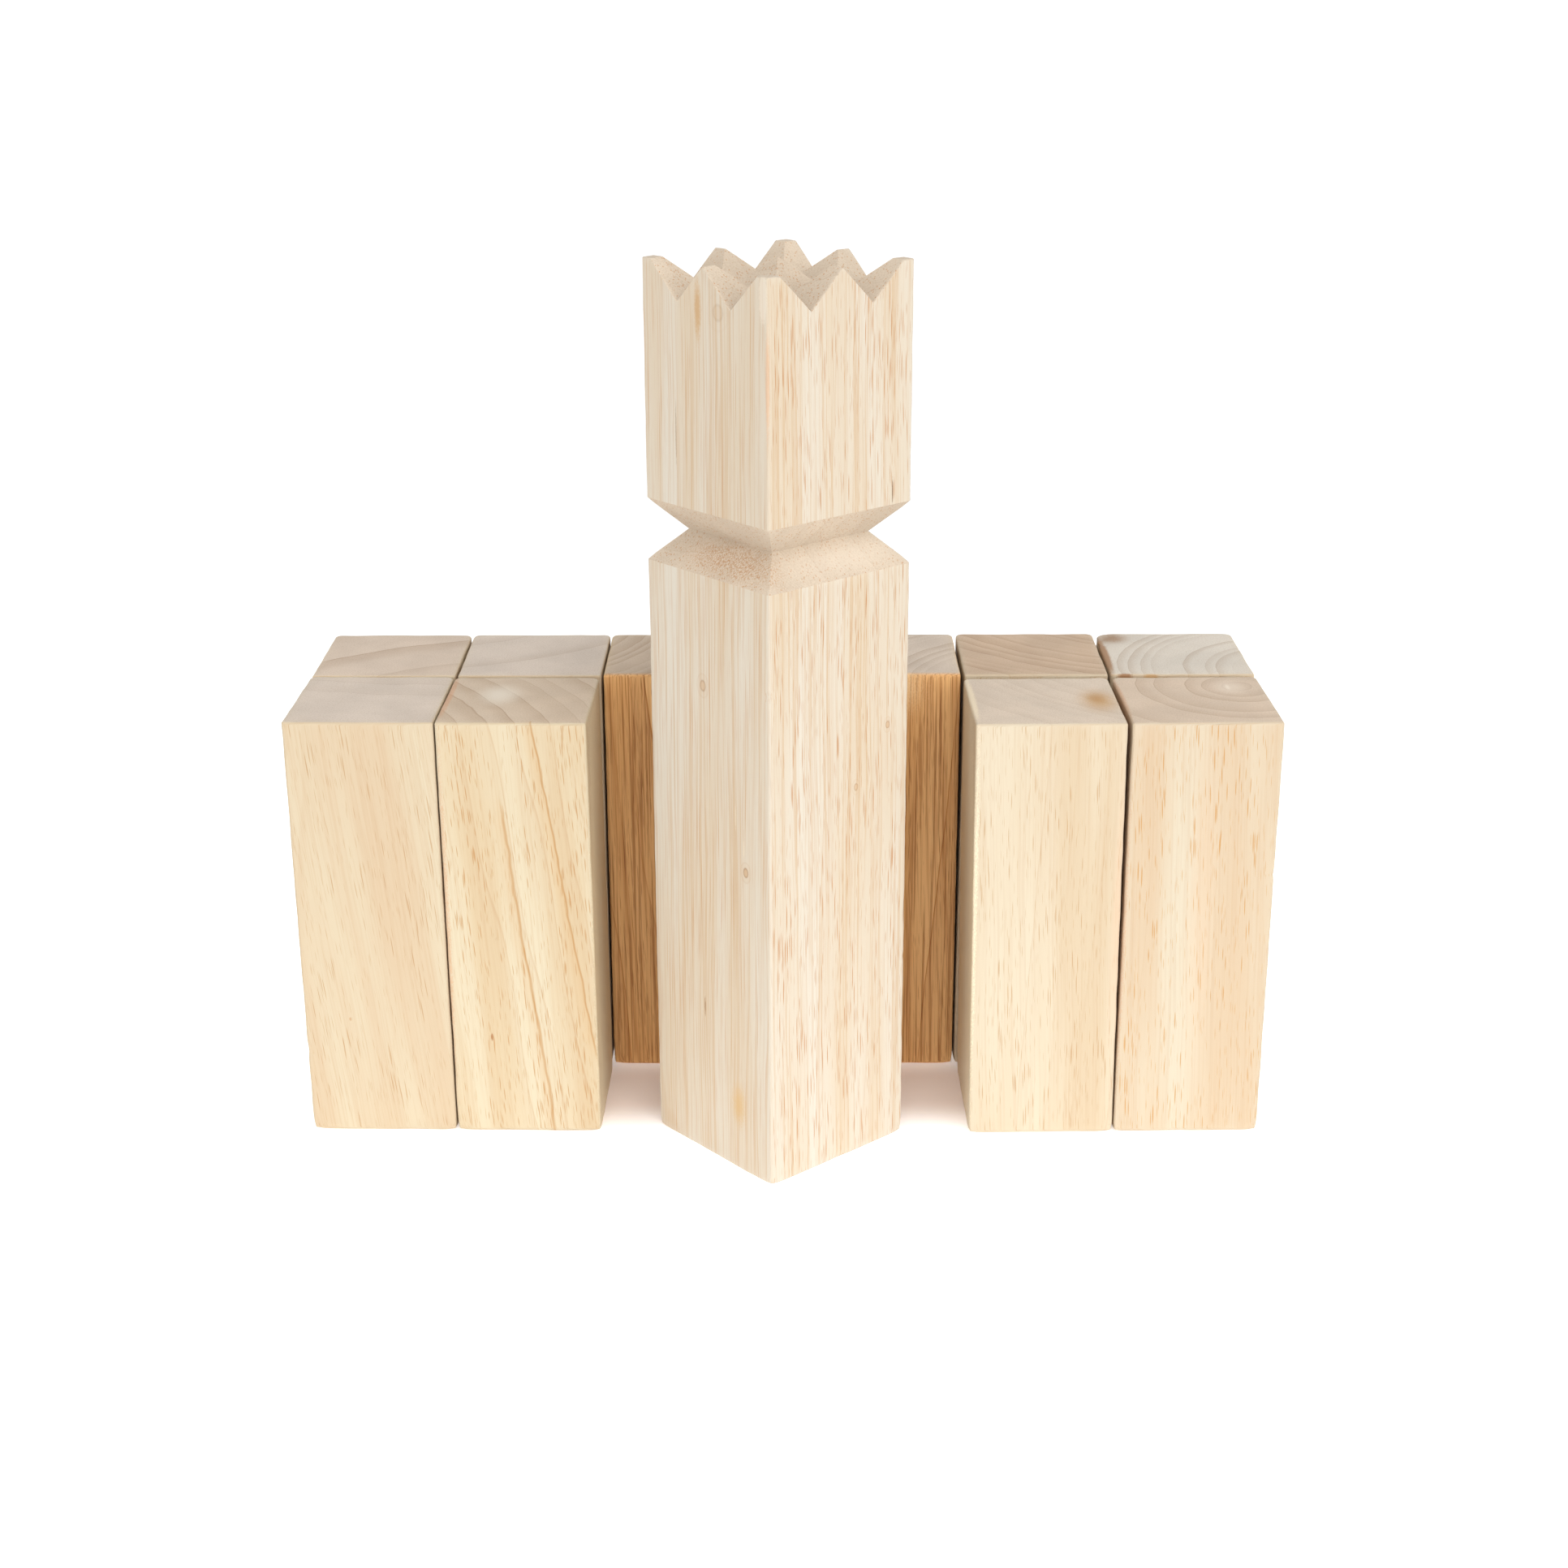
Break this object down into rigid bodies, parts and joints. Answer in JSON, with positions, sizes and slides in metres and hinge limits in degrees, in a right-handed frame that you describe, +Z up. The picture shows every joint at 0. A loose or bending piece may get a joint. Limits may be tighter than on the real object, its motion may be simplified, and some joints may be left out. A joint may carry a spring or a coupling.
{
  "type": "kubb lawn game set",
  "caption": "Lawn throwing game: square wooden kubbs standing in rows, with a taller king that has a sawn crown and a grooved neck.",
  "frame": {"origin": "centre of the king's base, on the surface the set stands on", "axes": "+Z up, +X to the right along the rows, +Y from the king towards the rear row"},
  "size_m": [0.3292, 0.1407, 0.3],
  "materials": {
    "king_wood": "bare sawn and sanded light hardwood, satin",
    "front_kubb_wood": "bare planed light hardwood, satin",
    "rear_kubb_wood": "bare planed light hardwood, satin"
  },
  "bodies": {
    "king": {"king": "king_wood"},
    "kubb_front_left_outer": {"kubb_front_left_outer": "front_kubb_wood"},
    "kubb_front_left_inner": {"kubb_front_left_inner": "front_kubb_wood"},
    "kubb_front_right_inner": {"kubb_front_right_inner": "front_kubb_wood"},
    "kubb_front_right_outer": {"kubb_front_right_outer": "front_kubb_wood"},
    "kubb_rear_1": {"kubb_rear_1": "rear_kubb_wood"},
    "kubb_rear_2": {"kubb_rear_2": "rear_kubb_wood"},
    "kubb_rear_3": {"kubb_rear_3": "rear_kubb_wood"},
    "kubb_rear_4": {"kubb_rear_4": "rear_kubb_wood"},
    "kubb_rear_5": {"kubb_rear_5": "rear_kubb_wood"},
    "kubb_rear_6": {"kubb_rear_6": "rear_kubb_wood"}
  },
  "joints": [
    {"name": "king_tip", "type": "hinge", "parent": "kubb_front_left_inner", "child": "king", "pos_m": [-0.02194, -0.01927, 0.0008], "axis": [0.66, -0.7513, 0], "range_deg": [0, 90]},
    {"name": "kubb_front_left_outer_tip", "type": "hinge", "parent": "kubb_front_left_inner", "child": "kubb_front_left_outer", "pos_m": [-0.1611, 0.02326, 0.0011], "axis": [-0.0175, -0.9998, 0], "range_deg": [0, 90]},
    {"name": "kubb_front_right_inner_tip", "type": "hinge", "parent": "kubb_front_left_inner", "child": "kubb_front_right_inner", "pos_m": [0.09032, -0.00374, 0.0011], "axis": [0.9998, 0.0175, 0], "range_deg": [0, 90]},
    {"name": "kubb_front_right_outer_tip", "type": "hinge", "parent": "kubb_front_left_inner", "child": "kubb_front_right_outer", "pos_m": [0.14071, -0.00286, 0.0011], "axis": [0.9998, 0.0175, 0], "range_deg": [0, 90]},
    {"name": "kubb_rear_1_tip", "type": "hinge", "parent": "kubb_front_left_inner", "child": "kubb_rear_1", "pos_m": [-0.13755, 0.0977, 0.0011], "axis": [-1, 0, 0], "range_deg": [0, 90]},
    {"name": "kubb_rear_2_tip", "type": "hinge", "parent": "kubb_front_left_inner", "child": "kubb_rear_2", "pos_m": [-0.08685, 0.0977, 0.0011], "axis": [-1, 0, 0], "range_deg": [0, 90]},
    {"name": "kubb_rear_3_tip", "type": "hinge", "parent": "kubb_front_left_inner", "child": "kubb_rear_3", "pos_m": [-0.03625, 0.0977, 0.0011], "axis": [-1, 0, 0], "range_deg": [0, 90]},
    {"name": "kubb_rear_4_tip", "type": "hinge", "parent": "kubb_front_left_inner", "child": "kubb_rear_4", "pos_m": [0.03805, 0.0977, 0.0011], "axis": [-1, 0, 0], "range_deg": [0, 90]},
    {"name": "kubb_rear_5_tip", "type": "hinge", "parent": "kubb_front_left_inner", "child": "kubb_rear_5", "pos_m": [0.08855, 0.0977, 0.0011], "axis": [-1, 0, 0], "range_deg": [0, 90]},
    {"name": "kubb_rear_6_tip", "type": "hinge", "parent": "kubb_front_left_inner", "child": "kubb_rear_6", "pos_m": [0.14005, 0.0977, 0.0011], "axis": [-1, 0, 0], "range_deg": [0, 90]}
  ]
}
